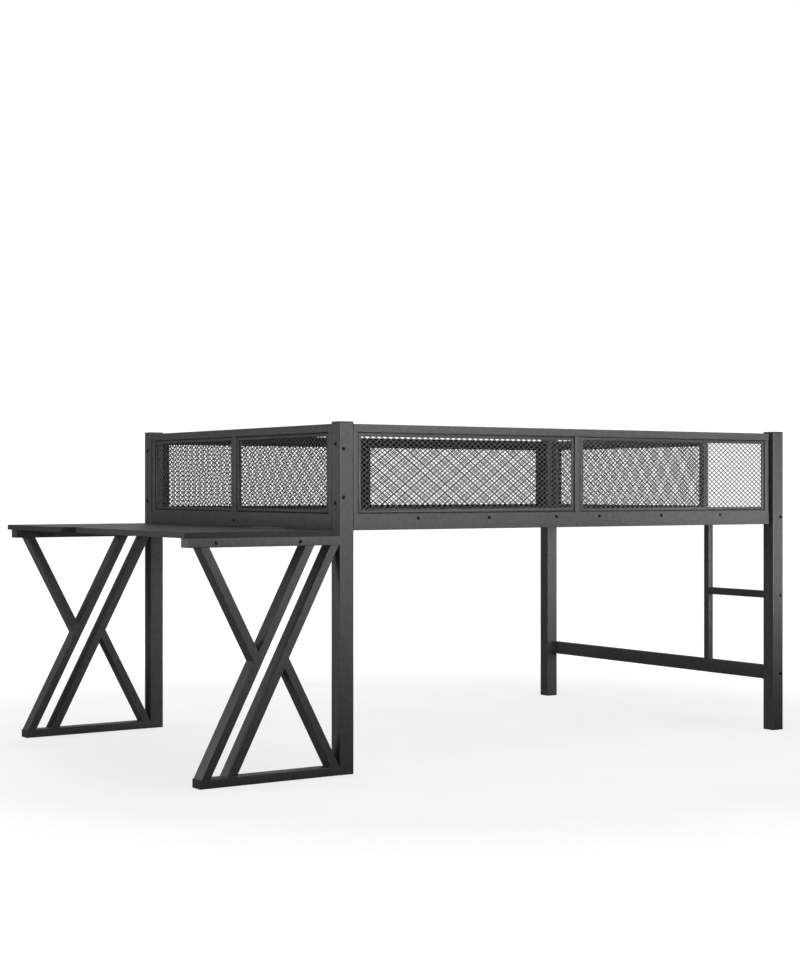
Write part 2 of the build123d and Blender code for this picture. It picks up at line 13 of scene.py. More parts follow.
import bmesh
import bpy
import numpy as np
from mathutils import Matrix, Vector

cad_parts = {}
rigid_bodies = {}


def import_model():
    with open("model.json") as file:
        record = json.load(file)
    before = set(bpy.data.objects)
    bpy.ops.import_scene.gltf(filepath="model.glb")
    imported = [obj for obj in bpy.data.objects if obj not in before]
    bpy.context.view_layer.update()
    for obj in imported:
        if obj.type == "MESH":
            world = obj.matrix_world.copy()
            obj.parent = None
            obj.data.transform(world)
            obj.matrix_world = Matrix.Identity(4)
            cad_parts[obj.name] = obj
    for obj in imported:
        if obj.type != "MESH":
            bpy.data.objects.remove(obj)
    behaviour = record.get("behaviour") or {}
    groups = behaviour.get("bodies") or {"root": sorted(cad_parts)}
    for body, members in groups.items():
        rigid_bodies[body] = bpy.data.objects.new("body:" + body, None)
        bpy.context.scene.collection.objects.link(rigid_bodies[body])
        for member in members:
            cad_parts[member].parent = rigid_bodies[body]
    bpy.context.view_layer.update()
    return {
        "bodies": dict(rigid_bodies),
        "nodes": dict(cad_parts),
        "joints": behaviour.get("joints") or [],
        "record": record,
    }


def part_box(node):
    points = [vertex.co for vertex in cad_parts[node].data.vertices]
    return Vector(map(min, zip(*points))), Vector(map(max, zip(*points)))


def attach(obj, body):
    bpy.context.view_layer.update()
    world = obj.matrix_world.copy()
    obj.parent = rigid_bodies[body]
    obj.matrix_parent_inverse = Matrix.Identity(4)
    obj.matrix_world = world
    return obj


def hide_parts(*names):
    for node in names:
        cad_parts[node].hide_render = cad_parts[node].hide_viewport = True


log = logging.getLogger("loft_bed")

BODY = "root"
MM = 0.001
SLIVER = 0.01 * MM


class Slot(Enum):
    """Material slot names of the record; the pieces made here take their finishes from Finishes
    instead.
    """

    FRAME = "frame_steel"
    MESH = "mesh_steel"


class Run(Enum):
    """The axis that a tube or a guard panel runs along."""

    X = 0
    Y = 1
    Z = 2


# ---------------------------------------------------------------- node graphs
class Graph:
    """A material's node tree with short calls for the nodes that the finishes share."""

    def __init__(self, name: str) -> None:
        """Start an empty material.

        Args:
            name: the material's name.
        """
        self.material = bpy.data.materials.new(name)
        self.material.use_nodes = True
        self.tree = self.material.node_tree
        self.tree.nodes.clear()
        self.output = self.tree.nodes.new("ShaderNodeOutputMaterial")
        self.place = self.tree.nodes.new("ShaderNodeTexCoord")

    def node(self, kind: str, **settings: object) -> bpy.types.Node:
        """Add one node and set its properties.

        Args:
            kind: the node's type name.
            settings: property names and values.

        Returns:
            The new node.
        """
        made = self.tree.nodes.new(kind)
        for key, value in settings.items():
            setattr(made, key, value)
        return made

    def link(self, source: bpy.types.NodeSocket, target: bpy.types.NodeSocket) -> None:
        """Join two sockets."""
        self.tree.links.new(source, target)

    def noise(
        self, scale: float, detail: float, stretch: tuple[float, float, float] = (1, 1, 1)
    ) -> bpy.types.NodeSocket:
        """Add noise on object coordinates.

        Args:
            scale: cycles per metre.
            detail: octaves.
            stretch: scale factors along the three axes.

        Returns:
            The noise's value socket.
        """
        source = self.place.outputs["Object"]
        if stretch != (1, 1, 1):
            mapping = self.node("ShaderNodeMapping")
            mapping.inputs["Scale"].default_value = stretch
            self.link(source, mapping.inputs["Vector"])
            source = mapping.outputs["Vector"]
        texture = self.node("ShaderNodeTexNoise")
        texture.inputs["Scale"].default_value = scale
        texture.inputs["Detail"].default_value = detail
        self.link(source, texture.inputs["Vector"])
        return texture.outputs["Fac"]

    def spread(
        self, source: bpy.types.NodeSocket, low: float, high: float
    ) -> bpy.types.NodeSocket:
        """Map the middle of a noise onto a range of values.

        Args:
            source: the noise's value.
            low: value where the noise is 0.3.
            high: value where the noise is 0.7.

        Returns:
            The mapped value's socket.
        """
        ranged = self.node("ShaderNodeMapRange")
        ranged.inputs["From Min"].default_value = 0.3
        ranged.inputs["From Max"].default_value = 0.7
        ranged.inputs["To Min"].default_value = low
        ranged.inputs["To Max"].default_value = high
        self.link(source, ranged.inputs["Value"])
        return ranged.outputs["Result"]

    def blend(
        self,
        factor: bpy.types.NodeSocket,
        first: tuple[float, float, float],
        second: tuple[float, float, float],
    ) -> bpy.types.NodeSocket:
        """Mix two colours by a value.

        Args:
            factor: 0 gives the first colour and 1 the second.
            first: linear colour.
            second: linear colour.

        Returns:
            The mixed colour's socket.
        """
        mixed = self.node("ShaderNodeMix", data_type="RGBA")
        mixed.inputs["A"].default_value = (*first, 1)
        mixed.inputs["B"].default_value = (*second, 1)
        self.link(factor, mixed.inputs["Factor"])
        return mixed.outputs["Result"]

    def bump(
        self,
        height: bpy.types.NodeSocket,
        distance: float,
        strength: float,
        under: bpy.types.NodeSocket | None = None,
    ) -> bpy.types.NodeSocket:
        """Turn a height into a bent normal.

        Args:
            height: the relief, 0 to 1.
            distance: its real depth in metres.
            strength: how much of it shows.
            under: a normal that it is laid on.

        Returns:
            The normal's socket.
        """
        made = self.node("ShaderNodeBump")
        made.inputs["Distance"].default_value = distance
        made.inputs["Strength"].default_value = strength
        self.link(height, made.inputs["Height"])
        if under is not None:
            self.link(under, made.inputs["Normal"])
        return made.outputs["Normal"]

    def surface(self) -> bpy.types.Node:
        """Add the principled shader and join it to the output."""
        shader = self.node("ShaderNodeBsdfPrincipled")
        self.link(shader.outputs["BSDF"], self.output.inputs["Surface"])
        return shader


# ---------------------------------------------------------------- finishes
@dataclass(frozen=True)
class PowderCoat:
    """Satin powder coat on steel: fine orange peel, faint mottling and rubbed edges."""

    name: str = "charcoal_powder_coat"
    deep: tuple[float, float, float] = (0.036, 0.036, 0.037)
    pale: tuple[float, float, float] = (0.041, 0.041, 0.042)
    rubbed: tuple[float, float, float] = (0.060, 0.060, 0.062)
    roughness: tuple[float, float] = (0.48, 0.56)
    mottle_scale: float = 7.0
    patch_scale: float = 22.0
    wave_scale: float = 140.0
    wave_depth: float = 0.0002
    peel_scale: float = 950.0
    peel_depth: float = 0.00008
    rub_scale: float = 60.0
    rub_start: float = 0.53
    rub_full: float = 0.62

    def material(self) -> bpy.types.Material:
        """Build the finish as a node material."""
        graph = Graph(self.name)
        shader = graph.surface()
        mottle = graph.noise(self.mottle_scale, 5.0)
        body = graph.blend(graph.spread(mottle, 0, 1), self.deep, self.pale)
        edge = graph.node("ShaderNodeNewGeometry")
        worn = graph.node("ShaderNodeMapRange")
        worn.inputs["From Min"].default_value = self.rub_start
        worn.inputs["From Max"].default_value = self.rub_full
        graph.link(edge.outputs["Pointiness"], worn.inputs["Value"])
        rub = graph.node("ShaderNodeMath", operation="MULTIPLY")
        graph.link(worn.outputs["Result"], rub.inputs[0])
        graph.link(graph.spread(graph.noise(self.rub_scale, 4.0), 0, 1), rub.inputs[1])
        tint = graph.node("ShaderNodeMix", data_type="RGBA")
        graph.link(rub.outputs["Value"], tint.inputs["Factor"])
        graph.link(body, tint.inputs["A"])
        tint.inputs["B"].default_value = (*self.rubbed, 1)
        graph.link(tint.outputs["Result"], shader.inputs["Base Color"])
        patch = graph.noise(self.patch_scale, 3.0)
        graph.link(graph.spread(patch, *self.roughness), shader.inputs["Roughness"])
        wave = graph.bump(graph.noise(self.wave_scale, 2.0), self.wave_depth, 0.25)
        peel = graph.bump(
            graph.noise(self.peel_scale, 3.0), self.peel_depth, 0.5, under=wave
        )
        graph.link(peel, shader.inputs["Normal"])
        return graph.material


@dataclass(frozen=True)
class Laminate:
    """Black faced board: a pressed grain along its length on a satin film."""

    name: str = "black_laminate"
    deep: tuple[float, float, float] = (0.017, 0.017, 0.018)
    pale: tuple[float, float, float] = (0.025, 0.025, 0.026)
    roughness: tuple[float, float] = (0.48, 0.60)
    gloss: float = 0.22

    def material(self) -> bpy.types.Material:
        """Build the finish as a node material."""
        graph = Graph(self.name)
        shader = graph.surface()
        streak = graph.noise(90.0, 6.0, (1.0, 0.045, 1.0))
        pore = graph.noise(420.0, 3.0, (1.0, 0.02, 1.0))
        tone = graph.blend(graph.spread(streak, 0, 1), self.deep, self.pale)
        graph.link(tone, shader.inputs["Base Color"])
        shader.inputs["Specular IOR Level"].default_value = self.gloss
        graph.link(graph.spread(pore, *self.roughness), shader.inputs["Roughness"])
        relief = graph.bump(pore, 0.0002, 0.35)
        graph.link(relief, shader.inputs["Normal"])
        return graph.material


@dataclass(frozen=True)
class MouldedPlastic:
    """Moulded black plastic with a fine spark-eroded grain."""

    name: str = "moulded_plastic"
    deep: tuple[float, float, float] = (0.014, 0.014, 0.014)
    pale: tuple[float, float, float] = (0.022, 0.022, 0.022)
    roughness: tuple[float, float] = (0.45, 0.6)
    grain_scale: float = 1600.0

    def material(self) -> bpy.types.Material:
        """Build the finish as a node material."""
        graph = Graph(self.name)
        shader = graph.surface()
        tone = graph.blend(graph.spread(graph.noise(30, 4), 0, 1), self.deep, self.pale)
        graph.link(tone, shader.inputs["Base Color"])
        grain = graph.noise(self.grain_scale, 2.0)
        graph.link(graph.spread(grain, *self.roughness), shader.inputs["Roughness"])
        graph.link(graph.bump(grain, 0.00006, 0.6), shader.inputs["Normal"])
        return graph.material


@dataclass(frozen=True)
class BlackenedSteel:
    """Blackened steel of the bolts: metal with a worn oxide skin."""

    name: str = "blackened_steel"
    deep: tuple[float, float, float] = (0.008, 0.008, 0.008)
    pale: tuple[float, float, float] = (0.018, 0.018, 0.017)
    roughness: tuple[float, float] = (0.28, 0.46)

    def material(self) -> bpy.types.Material:
        """Build the finish as a node material."""
        graph = Graph(self.name)
        shader = graph.surface()
        shader.inputs["Metallic"].default_value = 0.85
        tone = graph.blend(graph.spread(graph.noise(180, 5), 0, 1), self.deep, self.pale)
        graph.link(tone, shader.inputs["Base Color"])
        graph.link(graph.spread(graph.noise(400, 3), *self.roughness), shader.inputs["Roughness"])
        graph.link(graph.bump(graph.noise(1500, 2), 0.00004, 0.4), shader.inputs["Normal"])
        return graph.material


@dataclass
class Finishes:
    """The materials, built once and handed to every sub-assembly."""

    frame: bpy.types.Material = field(init=False)
    deck: bpy.types.Material = field(init=False)
    mesh: bpy.types.Material = field(init=False)
    board: bpy.types.Material = field(init=False)
    plastic: bpy.types.Material = field(init=False)
    outlet: bpy.types.Material = field(init=False)
    bolts: bpy.types.Material = field(init=False)

    def __post_init__(self) -> None:
        """Build every material."""
        self.frame = PowderCoat().material()
        self.deck = PowderCoat(name="deck_powder_coat", peel_scale=700.0).material()
        self.mesh = PowderCoat(name="mesh_powder_coat", peel_scale=1400.0).material()
        self.board = Laminate().material()
        self.plastic = MouldedPlastic().material()
        self.outlet = MouldedPlastic(
            name="outlet_plastic", deep=(0.075, 0.075, 0.077), pale=(0.090, 0.090, 0.092)
        ).material()
        self.bolts = BlackenedSteel().material()


# ---------------------------------------------------------------- mesh making
def new_piece(
    name: str,
    points: np.ndarray,
    faces: np.ndarray,
    finish: bpy.types.Material,
) -> bpy.types.Object:
    """Put worked-out points and faces into a piece that rides on the frame.

    Args:
        name: the piece's name.
        points: vertices, in metres, one row each.
        faces: vertex numbers of the faces, one row each, all of one length.
        finish: its material.

    Returns:
        The piece's object, at the origin.
    """
    mesh = bpy.data.meshes.new(name)
    sides = faces.shape[1]
    mesh.vertices.add(len(points))
    mesh.vertices.foreach_set("co", np.ascontiguousarray(points, np.float32).ravel())
    mesh.loops.add(faces.size)
    mesh.loops.foreach_set("vertex_index", faces.astype(np.int32).ravel())
    mesh.polygons.add(len(faces))
    starts = np.arange(0, faces.size, sides, dtype=np.int32)
    mesh.polygons.foreach_set("loop_start", starts)
    mesh.update(calc_edges=True)
    mesh.validate()
    piece = bpy.data.objects.new(name, mesh)
    bpy.context.scene.collection.objects.link(piece)
    mesh.materials.append(finish)
    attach(piece, BODY)
    log.info("%s: %d points, %d faces", name, len(points), len(faces))
    return piece


def welded(points: np.ndarray, faces: np.ndarray) -> tuple[np.ndarray, np.ndarray]:
    """Merge points that lie within a hundredth of a millimetre of each other.

    Args:
        points: vertices in metres.
        faces: vertex numbers.

    Returns:
        The distinct points and the renumbered faces.
    """
    keys = np.round(points / SLIVER).astype(np.int64)
    _, first, number = np.unique(keys, axis=0, return_index=True, return_inverse=True)
    return points[first], number.ravel()[faces]


def turned_outward(piece: bpy.types.Object) -> None:
    """Make every face of a closed piece look outward."""
    work = bmesh.new()
    work.from_mesh(piece.data)
    bmesh.ops.recalc_face_normals(work, faces=work.faces[:])
    work.to_mesh(piece.data)
    work.free()


def coordinates(node: bpy.types.Object) -> np.ndarray:
    """Read a CAD node's points, one row each."""
    flat = np.empty(len(node.data.vertices) * 3, np.float32)
    node.data.vertices.foreach_get("co", flat)
    return flat.reshape(-1, 3).astype(float)


def sheet_spans(node: bpy.types.Object, run: Run) -> np.ndarray:
    """Find where each flat sheet of a node begins and ends.

    A sheet is a plain box, so its points have two distinct places along the panel.

    Args:
        node: the CAD node with the sheets.
        run: the axis that the panel runs along.

    Returns:
        A start and an end for every sheet, one row each.
    """
    places = np.unique(np.round(coordinates(node)[:, run.value], 5))
    return places.reshape(-1, 2)


# ---------------------------------------------------------------- tubes
@dataclass
class RoundedTube:
    """Rectangular steel tube with rounded long edges, open at both ends.

    A node that holds several tubes side by side is parted where they stand apart.
    """

    node: str
    run: Run
    split: Run | None = None
    radius: float = 2.0 * MM
    wall: float = 1.2 * MM
    apart: float = 60.0 * MM
    corner_steps: int = 5

    def build(self, finish: bpy.types.Material, frame: dict) -> None:
        """Make a piece for each tube of the node.

        Args:
            finish: the material.
        """
        points = coordinates(frame["nodes"][self.node])
        for number, group in enumerate(self.groups(points)):
            low, high = group.min(0), group.max(0)
            placed, quads = self.shell(low, high)
            piece = new_piece(f"{self.node}_tube_{number}", placed, quads, finish)
            turned_outward(piece)
            piece.data.shade_smooth()
            piece.data.set_sharp_from_angle(angle=math.radians(40))
            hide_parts(self.node)

    def groups(self, points: np.ndarray) -> list[np.ndarray]:
        """Part the node's points wherever they leave a wide gap along the split axis."""
        if self.split is None:
            return [points]
        order = points[np.argsort(points[:, self.split.value])]
        gaps = np.diff(order[:, self.split.value]) > self.apart
        return np.split(order, np.flatnonzero(gaps) + 1)

    def outline(self, width: float, height: float, radius: float) -> np.ndarray:
        """Work out a rounded rectangle about zero, anticlockwise.

        Each corner is a quarter circle about a centre one radius in from both sides.
        """
        turn = np.linspace(0, math.pi / 2, self.corner_steps)
        angle = (np.arange(4)[:, None] * math.pi / 2 + turn).ravel()
        sign_u = np.repeat([1, -1, -1, 1], self.corner_steps)
        sign_v = np.repeat([1, 1, -1, -1], self.corner_steps)
        u = sign_u * (width / 2 - radius) + radius * np.cos(angle)
        v = sign_v * (height / 2 - radius) + radius * np.sin(angle)
        return np.stack([u, v], 1)

    def shell(self, low: np.ndarray, high: np.ndarray) -> tuple[np.ndarray, np.ndarray]:
        """Carry the outer and the inner outline along the tube and join their ends.

        The rings go outer start, outer end, inner end, inner start, and back to the
        first, so the surface closes round the wall.

        Args:
            low: the tube's lowest corner.
            high: its highest corner.

        Returns:
            Points and quads.
        """
        run = self.run.value
        first, second = (run + 1) % 3, (run + 2) % 3
        width, height = (high - low)[first], (high - low)[second]
        inner_radius = max(self.radius - self.wall, 0.3 * MM)
        outer = self.outline(width, height, self.radius)
        inner = self.outline(width - 2 * self.wall, height - 2 * self.wall, inner_radius)
        middle = (low + high) / 2
        count = len(outer)
        rings = [(outer, low), (outer, high), (inner, high), (inner, low)]
        points = np.empty((4 * count, 3))
        points[:, [first, second]] = np.concatenate([ring for ring, _ in rings])
        points[:, [first, second]] += middle[[first, second]]
        points[:, run] = np.repeat([end[run] for _, end in rings], count)
        step = np.arange(count)
        after = (step + 1) % count
        quads = [
            np.stack(
                [step + count * k, after + count * k, after + count * n, step + count * n], 1
            )
            for k, n in ((0, 1), (1, 2), (2, 3), (3, 0))
        ]
        return points, np.concatenate(quads)


# ---------------------------------------------------------------- diamond mesh
@dataclass
class DiamondMesh:
    """Expanded steel mesh: strands that lean forward at their upper edge.

    The weave stands a little aside from the window's middle, so that no cut along the
    window's edges runs through the strands' corners.

    A cell is one diamond opening with half of each strand round it. The openings
    of one row stand half a pitch aside from those of the next.
    """

    pitch_along: float = 23.0 * MM
    pitch_up: float = 16.8 * MM
    strand: float = 2.8 * MM
    thick: float = 1.2 * MM
    lift: float = 0.3 * MM
    aside: float = 0.37 * MM

    def cell(self) -> tuple[np.ndarray, np.ndarray]:
        """Work out one cell about its opening's middle.

        The outer ring runs along the strands' middle lines: a diamond of the two
        pitches. The inner ring is that diamond drawn in by half a strand, with blunt
        ends. The ring's lower half leans out and its upper half leans in.

        Returns:
            Points (along, up, out) and quads.
        """
        a, b = self.pitch_along / 2, self.pitch_up / 2
        slope = math.hypot(a, b)
        shrink = 1 - self.strand / 2 * slope / (a * b)
        along = np.array([-1, -0.5, 0, 0.5, 1, 0.5, 0, -0.5])
        up = np.array([0, -0.5, -1, -0.5, 0, 0.5, 1, 0.5])
        outer = np.stack([along * a, up * b, np.zeros(8)], 1)
        lean = -np.sign(up) * self.lift / 2
        inner = np.stack([along * a * shrink, up * b * shrink, lean], 1)
        front = self.thick / 2
        shift = np.array([0, 0, front])
        points = np.concatenate([outer + shift, inner + shift, inner - shift, outer - shift])
        step = np.arange(8)
        after = (step + 1) % 8
        rings = [
            np.stack([step + 8 * k, after + 8 * k, after + 8 * k + 8, step + 8 * k + 8], 1)
            for k in range(3)
        ]
        return points, np.concatenate(rings)

    def sheet(self, width: float, height: float) -> tuple[np.ndarray, np.ndarray]:
        """Fill a rectangle, centred on zero, with cells; the outermost stand over it.

        Args:
            width: the rectangle's size along the panel.
            height: its size upwards.

        Returns:
            Points (along, up, out) and quads, welded into one sheet.
        """
        points, quads = self.cell()
        columns = int(width / self.pitch_along / 2) + 2
        rows = int(height / self.pitch_up / 2) + 2
        i, j = np.meshgrid(np.arange(-columns, columns + 1), np.arange(-rows, rows + 1))
        centres = np.stack([i.ravel() * self.pitch_along, j.ravel() * self.pitch_up], 1)
        shifted = centres + np.array([self.pitch_along / 2, self.pitch_up / 2])
        centres = np.concatenate([centres, shifted]) + self.aside
        moves = np.concatenate([centres, np.zeros((len(centres), 1))], 1)
        every = (points[None] + moves[:, None]).reshape(-1, 3)
        numbers = quads[None] + (np.arange(len(centres)) * len(points))[:, None, None]
        return welded(every, numbers.reshape(-1, 4))


def trimmed(piece: bpy.types.Object, cuts: list[tuple[Vector, Vector]]) -> None:
    """Cut a closed sheet along planes and close the cut strands.

    Args:
        piece: the object whose mesh is cut.
        cuts: a point and an outward direction for every plane.
    """
    work = bmesh.new()
    work.from_mesh(piece.data)
    for point, outward in cuts:
        geometry = work.verts[:] + work.edges[:] + work.faces[:]
        bmesh.ops.bisect_plane(
            work, geom=geometry, plane_co=point, plane_no=outward, clear_outer=True
        )
    bmesh.ops.remove_doubles(work, verts=work.verts[:], dist=SLIVER)
    bmesh.ops.dissolve_degenerate(work, dist=SLIVER, edges=work.edges[:])
    rim = [edge for edge in work.edges if edge.is_boundary]
    bmesh.ops.holes_fill(work, edges=rim, sides=0)
    bmesh.ops.recalc_face_normals(work, faces=work.faces[:])
    work.to_mesh(piece.data)
    work.free()


@dataclass
class MitredFrame:
    """Flat bar bent round a window, with a bevelled inner edge and mitred corners.

    The section is a list of (inward from the window's edge, behind the panel's face).
    """

    section: tuple[tuple[float, float], ...] = (
        (0.0, 8.0),
        (0.0, 6.5),
        (2.6, 6.5),
        (2.6, 3.8),
        (3.4, 3.0),
        (10.5, 3.0),
        (13.5, 5.6),
        (13.5, 8.0),
    )
    # the section side at the floor of the gap round the bar, painted black as painted shade
    gap_shade_side: int = 1

    def surface(
        self, half_width: float, half_height: float
    ) -> tuple[np.ndarray, np.ndarray]:
        """Carry the section round a rectangle about zero.

        Each section point becomes the rectangle drawn in by that point's distance, so
        the corners meet on their diagonals.

        Args:
            half_width: half the window's size along the panel.
            half_height: half its height.

        Returns:
            Points (along, up, behind) and quads, section side by section side.
        """
        inward, behind = (np.array(self.section) * MM).T
        sign_u = np.array([-1, 1, 1, -1])
        sign_v = np.array([-1, -1, 1, 1])
        along = sign_u * (half_width - inward[:, None])
        up = sign_v * (half_height - inward[:, None])
        deep = np.repeat(behind[:, None], 4, 1)
        points = np.stack([along, up, deep], 2).reshape(-1, 3)
        count = len(inward)
        side, corner = np.divmod(np.arange(count * 4), 4)
        after, turn = (side + 1) % count, (corner + 1) % 4
        quads = np.stack(
            [side * 4 + corner, side * 4 + turn, after * 4 + turn, after * 4 + corner], 1
        )
        return points, quads

    def paint_gap_shade(self, piece: bpy.types.Object, finish: bpy.types.Material) -> None:
        """Paint the floor of the gap between the bar and the tubes black: painted shade for the dark
        line round each window.
        """
        piece.data.materials.append(finish)
        index = np.zeros(len(piece.data.polygons), np.int32)
        # this side's faces take the black finish: painted shade in the gap
        index[self.gap_shade_side * 4 : self.gap_shade_side * 4 + 4] = 1
        piece.data.polygons.foreach_set("material_index", index)


@dataclass(frozen=True)
class Dressing:
    """CAD nodes that keep their own shape and take one finish.

    A node belongs when its name begins with one of the beginnings and holds none of
    the words in apart.
    """

    finish: str
    beginnings: tuple[str, ...]
    apart: tuple[str, ...] = ()

    def dress(self, finishes: Finishes, frame: dict) -> None:
        """Give the nodes their finish.

        Args:
            finishes: the materials.
        """
        material = getattr(finishes, self.finish)
        for name in sorted(frame["nodes"]):
            if not name.startswith(self.beginnings) or any(word in name for word in self.apart):
                continue
            node = frame["nodes"][name]
            node.data.materials.clear()
            node.data.materials.append(material)
            log.info("%s: dressed in %s", name, material.name)


@dataclass
class GuardPanel:
    """One welded guard panel: its rails, stiles, inset frames and diamond mesh."""

    name: str
    run: Run
    outward: int
    weave: DiamondMesh
    surround: MitredFrame = field(default_factory=MitredFrame)
    sheet_margin: float = 4.0 * MM
    surround_recess: float = 3.0 * MM

    def build(self, finishes: Finishes, frame: dict) -> None:
        """Make the diamond mesh, the window frames and the tubes.

        Args:
            finishes: the materials.
        """
        sheets = frame["nodes"][f"{self.name}_mesh"]
        for number, (start, end) in enumerate(sheet_spans(sheets, self.run)):
            self.window(number, start, end, finishes)
            self.edge(number, start - self.sheet_margin, end + self.sheet_margin, finishes)
        self.tubes(finishes, frame)

    def tubes(self, finishes: Finishes, frame: dict) -> None:
        """Make the rails and stiles with rounded long edges.

        Args:
            finishes: the materials.
        """
        for part in ("top_rail", "lower_rail"):
            RoundedTube(f"{self.name}_{part}", self.run).build(finishes.frame, frame)
        RoundedTube(f"{self.name}_stiles", Run.Z, split=self.run).build(finishes.frame, frame)

    def edge(self, number: int, start: float, end: float, finishes: Finishes) -> None:
        """Make the frame round one window.

        Args:
            number: the window's number along the panel.
            start: where the window begins along the panel.
            end: where it ends.
            finishes: the materials.
        """
        node = f"{self.name}_inset_frames"
        low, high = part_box(node)
        across = 1 - self.run.value
        front = high[across] if self.outward > 0 else low[across]
        face = front + self.outward * self.surround_recess
        points, quads = self.surround.surface((end - start) / 2, (high.z - low.z) / 2)
        placed = np.empty_like(points)
        placed[:, 1 - across] = (start + end) / 2 + points[:, 0]
        placed[:, across] = face - self.outward * points[:, 2]
        placed[:, 2] = (low.z + high.z) / 2 + points[:, 1]
        name = f"{self.name}_surround_{number}"
        piece = new_piece(name, placed, quads, finishes.frame)
        # the floor of the gap round the bar is painted black: painted shade
        self.surround.paint_gap_shade(piece, finishes.plastic)
        turned_outward(piece)
        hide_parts(node)

    def window(self, number: int, start: float, end: float, finishes: Finishes) -> None:
        """Make the mesh of one window.

        Args:
            number: the window's number along the panel.
            start: where the CAD sheet begins along the panel.
            end: where it ends.
            finishes: the materials.
        """
        node = f"{self.name}_mesh"
        low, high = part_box(node)
        across = 1 - self.run.value
        depth = (low[across] + high[across]) / 2
        middle, half = (start + end) / 2, (end - start) / 2
        level, half_up = (low.z + high.z) / 2, (high.z - low.z) / 2
        points, quads = self.weave.sheet(2 * half, 2 * half_up)
        along = points[:, 0] * (1 if (self.run is Run.X) == (self.outward < 0) else -1)
        placed = np.empty_like(points)
        placed[:, 1 - across] = middle + along
        placed[:, across] = depth + points[:, 2] * self.outward
        placed[:, 2] = level + points[:, 1]
        piece = new_piece(f"{self.name}_diamond_{number}", placed, quads, finishes.mesh)
        along_way = Vector((1, 0, 0)) if self.run is Run.X else Vector((0, 1, 0))
        up_way = Vector((0, 0, 1))
        trimmed(
            piece,
            [
                (along_way * (middle + half), along_way),
                (along_way * (middle - half), -along_way),
                (up_way * (level + half_up), up_way),
                (up_way * (level - half_up), -up_way),
            ],
        )
        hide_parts(node)


# ---------------------------------------------------------------- studio
@dataclass(frozen=True)
class Softbox:
    """One rectangular soft light: metres, watts, and its fan in degrees."""

    name: str
    place: tuple[float, float, float]
    aim: tuple[float, float, float]
    size: tuple[float, float]
    power: float
    spread: float = 180.0

    def hang(self) -> bpy.types.Object:
        """Hang the light and turn it to its aim.

        Returns:
            The lamp.
        """
        data = bpy.data.lights.new(self.name, "AREA")
        data.shape = "RECTANGLE"
        data.size, data.size_y = self.size
        data.energy = self.power
        data.spread = math.radians(self.spread)
        lamp = bpy.data.objects.new(self.name, data)
        lamp.location = self.place
        lamp.rotation_mode = "QUATERNION"
        way = Vector(self.aim) - Vector(self.place)
        lamp.rotation_quaternion = way.to_track_quat("-Z", "Y")
        lamp.visible_camera = False
        bpy.context.scene.collection.objects.link(lamp)
        return lamp


